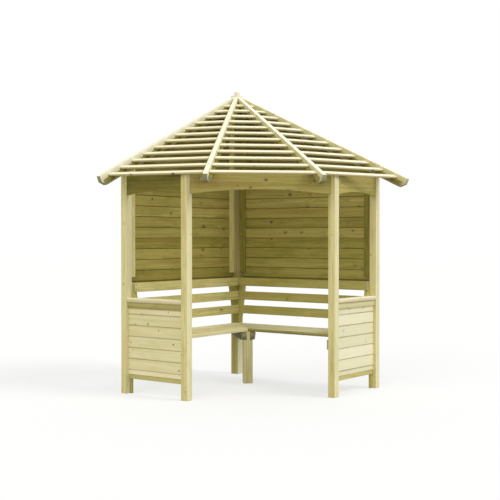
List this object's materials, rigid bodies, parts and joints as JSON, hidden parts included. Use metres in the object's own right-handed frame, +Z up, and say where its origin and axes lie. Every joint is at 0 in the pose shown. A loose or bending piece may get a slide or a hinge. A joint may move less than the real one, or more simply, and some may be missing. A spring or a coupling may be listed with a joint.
{
  "type": "corner arbor",
  "caption": "Timber corner arbor with boarded back walls at a right angle, a fan roof of slats on hips, an L-shaped bench with a reclined rail backrest, arched beams and half-height end panels.",
  "frame": {"origin": "centre of the corner post's foot, on the ground", "axes": "+Z up; the entrance faces -Y; +X to the right as seen from the entrance; the walls run at 45 degrees to -X-Y and +X-Y"},
  "size_m": [2.4572, 1.7189, 2.5245],
  "materials": {
    "pine": "sawn and planed pressure-treated pine",
    "pale_pine": "planed pressure-treated pine, sunlit and pale",
    "shaded_pine": "planed pressure-treated pine, greener",
    "galvanised_steel": "dull zinc"
  },
  "bodies": {
    "root": {"corner_post": "pine", "left_side_post": "pine", "right_side_post": "pine", "left_front_post": "pine", "right_front_post": "pine", "left_wall_boards": "shaded_pine", "right_wall_boards": "shaded_pine", "left_wall_battens": "shaded_pine", "right_wall_battens": "shaded_pine", "left_back_rail_1": "pale_pine", "left_back_rail_2": "pale_pine", "left_back_rail_3": "pale_pine", "right_back_rail_1": "pale_pine", "right_back_rail_2": "pale_pine", "right_back_rail_3": "pale_pine", "left_corner_bearer": "pine", "right_corner_bearer": "pine", "left_side_bearer": "pine", "right_side_bearer": "pine", "left_bench_boards": "pale_pine", "right_bench_boards": "pale_pine", "left_seat_bearer": "shaded_pine", "right_seat_bearer": "shaded_pine", "seat_leg": "pine", "left_end_bearer": "shaded_pine", "right_end_bearer": "shaded_pine", "left_end_boards": "pale_pine", "right_end_boards": "pale_pine", "left_end_stiles": "pine", "right_end_stiles": "pine", "left_bottom_rail": "pine", "right_bottom_rail": "pine", "left_top_rail": "pine", "right_top_rail": "pine", "left_cap_rail": "pale_pine", "right_cap_rail": "pale_pine", "front_beam": "pine", "left_beam": "pine", "right_beam": "pine", "left_side_hip": "pale_pine", "left_front_hip": "pale_pine", "right_front_hip": "pale_pine", "right_side_hip": "pale_pine", "left_side_hip_batten": "shaded_pine", "left_front_hip_battens": "shaded_pine", "right_front_hip_battens": "shaded_pine", "right_side_hip_batten": "shaded_pine", "left_slats": "pale_pine", "middle_slats": "pale_pine", "right_slats": "pale_pine", "board_nails": "galvanised_steel", "slat_nails": "galvanised_steel", "bench_screws": "galvanised_steel", "backrest_screws": "galvanised_steel", "cap_screws": "galvanised_steel", "hip_screws": "galvanised_steel", "leg_bolts": "galvanised_steel"}
  },
  "joints": []
}
